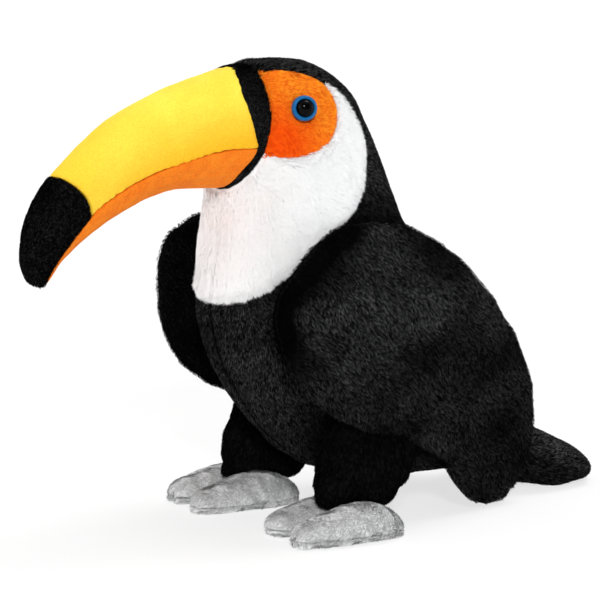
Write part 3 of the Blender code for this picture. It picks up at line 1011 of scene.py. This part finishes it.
def scattered(obj, per_mm2, where, free, seed):
    """Roots spread evenly over the shell's outside: their place, normal and place on the map."""
    mesh = obj.data
    tris, points, out = triangles(mesh), coords(mesh), directions(mesh)
    outer = read(mesh.attributes["outer"].data, "value", 1)[:, 0]
    loops = read(mesh.loop_triangles, "loops", 3, np.int32)
    on_map = read(mesh.uv_layers["OFBake"].uv, "vector", 2)[loops]
    a, b, c = (points[tris[:, k]] for k in range(3))
    area = np.linalg.norm(np.cross(b - a, c - a), axis=1) / 2
    centre, facing = (a + b + c) / 3, out[tris].mean(1)
    grounded = (centre[:, 2] < SOLE_HEIGHT) & (facing[:, 2] < -0.5)
    wanted = (area / MM ** 2 * per_mm2 * (outer * free)[tris].mean(1)
              * where(centre, unit(facing)) * ~grounded)
    draw = np.random.default_rng(seed)
    total = wanted.cumsum()
    count = int(total[-1])
    pick = np.searchsorted(total, (np.arange(count) + draw.random(count)) * total[-1] / count)
    pick = pick.clip(0, len(tris) - 1)
    s, t = np.sqrt(draw.random(count)), draw.random(count)
    weights = np.stack([1 - s, s * (1 - t), s * t], 1)[..., None]
    return ((points[tris[pick]] * weights).sum(1), unit((out[tris[pick]] * weights).sum(1)),
            (on_map[pick] * weights).sum(1))


def tangent(vectors, normals):
    return unit(vectors - (vectors * normals).sum(1, keepdims=True) * normals)


def turned_about(vectors, normals, angle):
    side = np.cross(normals, vectors)
    return vectors * np.cos(angle)[:, None] + side * np.sin(angle)[:, None]


def tree_of(points):
    tree = KDTree(len(points))
    for at, spot in enumerate(points):
        tree.insert(spot, at)
    tree.balance()
    return tree


def gathered(root, bend, tip, shade, locks, shared, draw):
    """Pulls each tuft towards the leader of its lock, and gives it part of the lock's shade."""
    count = len(root)
    leaders = draw.permutation(count)[:max(1, count // locks[0])]
    tree = tree_of(root[leaders])
    mine = leaders[np.array([tree.find(p)[1] for p in root])]
    pull = locks[1] * draw.uniform(0.5, 1.0, count)[:, None]
    goal = tip[mine] + (tip - tip[mine]) * 0.25
    tip = tip + (goal - tip) * pull
    bend = bend + (goal - tip) * pull * 0.15
    return bend, tip, shade[mine] * shared + draw.random(count) * (1 - shared)


def everywhere(points, normals):
    return np.ones(len(points))


def coat(name, cloth, flow, per_mm2, length, width, part=None, lean=(48, 14), spread=10,
         swirl=(18, 30 * MM), locks=(14, 0.45), seed=1, where=everywhere, soft=0.6, roll=28,
         skew=1.0, shared=0.45, painted_shade=everywhere):
    """Tufts over the shell of the same name, or of part. flow is the way the nap runs; lean is
    the angle of a tuft's lower and upper part to the cloth; locks is (tufts in a lock, how far
    they lean together); roll is how far a tuft twists; a skew over 1 leaves only a few tufts
    light, shared is how much of its shade a tuft takes from its lock, brushed dims it with
    painted shade, and where thins tufts out."""
    obj = shells[part or name]
    root, out, on_map = scattered(obj, per_mm2, where, free[part or name], seed)
    draw = np.random.default_rng(seed + 1000)
    count = len(root)
    nap = tangent(flow(root), out)
    angle = np.radians(swirl[0]) * wander(root, swirl[1], seed + 5) \
        + np.radians(spread) * draw.normal(size=count)
    nap = turned_about(nap, out, angle)
    long = length * MM * draw.uniform(0.75, 1.15, count)[:, None]
    tilt = np.radians(np.array(lean))[:, None] * draw.uniform(0.7, 1.3, (1, count))
    low, high = (nap * np.cos(t)[:, None] + out * np.sin(t)[:, None] for t in tilt)
    bend = root + low * long * LOWER_PART
    tip = bend + high * long * UPPER_PART
    bend, tip, shade = gathered(root, bend, tip, draw.random(count), locks, shared, draw)
    # The painted shade of each place darkens the tuft's own shade.
    shade = shade ** skew * painted_shade(root, out)
    for end in (tip, bend):
        end[:, 2] = np.maximum(end[:, 2], TABLE_CLEARANCE)
    roll = np.radians(roll) * draw.normal(size=count)
    side = unit(np.cross(unit(tip - root), out))
    up = np.cross(side, unit(tip - root))
    side = side * np.cos(roll)[:, None] + up * np.sin(roll)[:, None]
    half = side * width * MM / 2 * draw.uniform(0.7, 1.2, count)[:, None]
    corners = np.stack([root - out * SUNK, bend + half, tip, bend - half], 1)
    tuft_mesh(f"{name}_coat", obj, cloth[1], corners, on_map, out, shade, soft)


def tuft_mesh(name, obj, material, corners, on_map, out, shade, soft):
    """Kites as one mesh, with their map, shade and softened normals."""
    count = len(corners)
    mesh = bpy.data.meshes.new(name)
    mesh.vertices.add(count * 4)
    mesh.loops.add(count * 6)
    mesh.polygons.add(count * 2)
    mesh.vertices.foreach_set("co", corners.astype(np.float32).ravel())
    kite = np.array([0, 1, 3, 1, 2, 3])
    order = (np.arange(count)[:, None] * 4 + kite).ravel()
    mesh.loops.foreach_set("vertex_index", order.astype(np.int32))
    mesh.polygons.foreach_set("loop_start", np.arange(0, count * 6, 3, dtype=np.int32))
    mesh.update(calc_edges=True)
    patch = np.array([(0, -0.5), (0.5, 0), (0, 0.5), (-0.5, 0)]) * PATCH
    layer = mesh.uv_layers.new(name="OFBake")
    spots = (on_map[:, None] + patch)[:, kite].clip(0, 1)
    layer.uv.foreach_set("vector", spots.astype(np.float32).ravel())
    mark = mesh.attributes.new("tuft", "FLOAT_COLOR", "POINT")
    colour = np.zeros((count, 4, 4), np.float32)
    colour[:, :, 0] = (0, 0.45, 1, 0.45)
    colour[:, :, 1] = shade[:, None]
    colour[:, :, 3] = 1
    mark.data.foreach_set("color", colour.ravel())
    own = unit(np.cross(corners[:, 1] - corners[:, 3], corners[:, 2] - corners[:, 0]))
    own *= np.sign((own * out).sum(1, keepdims=True)) + 1e-9
    blend = unit(out * soft + own * (1 - soft))
    mesh.polygons.foreach_set("use_smooth", np.ones(count * 2, bool))
    mesh.normals_split_custom_set_from_vertices(np.repeat(blend, 4, 0).astype(np.float32))
    mesh.materials.append(material)
    made = linked(name, mesh)
    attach(made, "root")
    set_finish(made, obj["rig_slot"])
    print(name, count * 2, "triangles")


# %% [markdown]
# ## Which way the nap runs
# On the body the nap runs away from the beak: back over the crown, round the cheeks and down
# the chest. On each wing it runs down to the tip, on the tail to its end, on the feet forward.
# White tufts stand up along the border with the black, so that the border is soft. The black pile
# carries painted sheen and shade: dim patches where it lies the other way, and painted shade that
# keeps it black beside the bib, under the wings, on the legs and in the belly's seam. The face
# of a wing that lies against the body has fewer and broader tufts.

# %% Comb every coat
NAP_START = np.array((0, -95, 262)) * MM


def from_beak(points):
    return points - NAP_START


def towards(*direction):
    heading = np.array(direction, float)
    return lambda points: np.tile(heading, (len(points), 1))


def off_the_seam(points, normals):
    """Fewer tufts on the line where a sole is sewn on."""
    return np.clip(np.abs(points[:, 2] - SOLE_SEAM) / (0.8 * MM) - 0.3, 0.05, 1)


for shell in shells.values():
    unwrapped(shell)
HEAD = ("hood", "bib", "cheek")
FAMILIES = (HEAD, "beak", "wing", "toe")
LIMBS = ("wing", "leg", "tail")
TOUCHING, BARE_BESIDE_LIMB, BARE_ROUND_BODY = 1.0 * MM, 2.5 * MM, 8 * MM


def uncovered(name):
    """Where a shell has no other piece in front of it: a limb may stand off further."""
    def family(other):
        return name == other or any(name.startswith(f) and other.startswith(f) for f in FAMILIES)
    limbs = [s for n, s in shells.items() if n.startswith(LIMBS) and n != name]
    others = [s for n, s in shells.items() if not family(n)]
    over = BARE_ROUND_BODY if name.startswith(("hood", "wing")) else BARE_BESIDE_LIMB
    return open_air(shells[name], others, TOUCHING) * open_air(shells[name], limbs, over)


free = {name: uncovered(name) for name in shells}
BORDER = 3.5 * MM


def by_the_black(points, normals):
    return distance_to(points, BODY_NODES["black"]) < BORDER


coat("bib", WHITE, from_beak, 5.6, 4.6, 0.5, lean=(36, 12), seed=11, soft=0.88, roll=14,
     locks=(8, 0.35), shared=0.6)
coat("bib_edge", WHITE, from_beak, 4.5, 3.8, 0.5, "bib", lean=(68, 46), spread=22, seed=10,
     soft=0.8, locks=(5, 0.5), shared=0.6, where=by_the_black)
for side in ("left", "right"):
    coat(f"cheek_{side}", CHEEK, from_beak, 8, 3.0, 0.42, lean=(42, 14), seed=12,
         swirl=(34, 12 * MM), roll=20, locks=(5, 0.6), shared=0.85, soft=0.45)


def sheen_patches_and_low_shade(points, normals):
    """Painted sheen and shade: broad patches painted dim where the pile lies the other way, and
    painted shade lower down.
    """
    patches = (0.74 + 0.5 * wander(points * (1, 0.7, 1.3), 52 * MM, 41)).clip(0.2, 1)
    return patches * (points[:, 2] / (130 * MM)).clip(0.45, 1)


def wing_painted_shade(points, normals):
    """Painted shade on a wing: on top of the patches, the pile goes black beside the bib and where
    it turns in to the body.
    """
    outward = normals[:, 0] * np.sign(points[:, 0])
    rim = points[(np.abs(outward) < 0.35) & (normals[:, 1] < -0.25) & (points[:, 2] > 115 * MM)
                 & (points[:, 1] < -16 * MM)]
    tree = tree_of(rim * (0, 1, 1))
    inwards = np.array([tree.find(p)[2] for p in points * (0, 1, 1)])
    return sheen_patches_and_low_shade(points, normals) * ((inwards - 8 * MM) / (10 * MM)).clip(0.03, 1) \
        * ((outward + 0.35) / 0.4).clip(0.06, 1)


def on_outside(points, normals):
    """1 on a wing's outer face and its rim, 0 on the face towards the body."""
    return (normals[:, 0] * np.sign(points[:, 0]) > -0.2).astype(float)


def painted_shade_by_limbs(points, normals):
    """Painted shade: the pile of the body is dim beside the wings and the legs, and in the groove
    of the belly's seam.
    """
    seam = np.where((points[:, 1] < 0) & (points[:, 2] < 170 * MM),
                    (np.abs(points[:, 0]) / (2.4 * MM)).clip(0.08, 1), 1)
    beside = [distance_to(points, [f"{limb}_{side}"])
              for limb in ("wing", "leg") for side in ("left", "right")]
    return (np.min(beside, axis=0) / (40 * MM)).clip(0.02, 0.58) * seam


def painted_top_light(points, normals):
    """Painted light and shade: the tail's upper face is lighter, its underside is dim."""
    return (normals[:, 2] * 0.6 + 0.5).clip(0.3, 0.85)


BODY_TOP, BELLY_BACK = 160 * MM, 10 * MM
BLACK_PILE = dict(soft=0.3, skew=2.0, lean=(42, 14), locks=(3, 0.6), shared=0.85)
SHORT_PILE = dict(soft=0.3, shared=0.85, lean=(50, 25))
# Painted shade keeps the body's pile dim beside the limbs and in the belly's seam; the crown takes
# it a little lighter.
coat("crown", BLACK, from_beak, 4.8, 3.0, 0.38, "hood", seed=13,
     where=lambda p, n: p[:, 2] > BODY_TOP, painted_shade=lambda p, n: painted_shade_by_limbs(p, n) * 1.3,
     **BLACK_PILE)
coat("belly", BLACK, from_beak, 4.6, 2.8, 0.36, "hood", seed=14, painted_shade=painted_shade_by_limbs,
     where=lambda p, n: (p[:, 2] <= BODY_TOP) & (p[:, 1] < BELLY_BACK), **BLACK_PILE)
coat("rump", BLACK, from_beak, 3.3, 3.4, 0.45, "hood", seed=15, painted_shade=painted_shade_by_limbs,
     where=lambda p, n: (p[:, 2] <= BODY_TOP) & (p[:, 1] >= BELLY_BACK), **BLACK_PILE)
for side in ("left", "right"):
    # The wings take painted sheen and shade: dim patches, and black beside the bib and on the face
    # towards the body.
    for name, per_mm2, wide, seed, where in (
            (f"wing_{side}", 4.3, 0.36, 16, on_outside),
            (f"wing_{side}_inside", 1.9, 0.5, 22, lambda p, n: 1 - on_outside(p, n))):
        coat(name, BLACK, towards(0, 0.55, -0.83), per_mm2, 2.9, wide, f"wing_{side}", seed=seed,
             where=where, painted_shade=wing_painted_shade, **BLACK_PILE)
    # Painted shade: the legs, in the shade of the body, are kept near black.
    coat(f"leg_{side}", BLACK, towards(0, -0.1, -1), 3.4, 3.6, 0.5, seed=17,
         painted_shade=lambda p, n: 0.08, **BLACK_PILE)
    for toe in (f"toe_{side}_outer", f"toe_{side}_inner"):
        coat(toe, GREY, towards(0, -1, -0.4), 4.6, 2.6, 0.46, seed=18, swirl=(70, 12 * MM),
             locks=(4, 0.85), lean=(42, 18), soft=0.55, roll=20, where=off_the_seam, shared=0.9)
# Painted light and shade on the tail: lighter on top, dim below.
coat("tail", BLACK, towards(0, 1, 0), 3.6, 3.4, 0.45, seed=19, painted_shade=painted_top_light,
     **BLACK_PILE)
# Painted shade dims the pile of the beak's tip all over.
coat("beak_tip", BLACK_SHORT, towards(0, -0.5, -1), 9, 1.6, 0.32, seed=20,
     locks=(4, 0.5), skew=2.4, painted_shade=lambda p, n: 0.6, **SHORT_PILE)
coat("beak_band", BLACK_SHORT, towards(0, -0.5, -1), 9, 1.3, 0.32, seed=21,
     locks=(7, 0.5), skew=1.1, where=lambda p, n: p[:, 1] < -48 * MM, **SHORT_PILE)
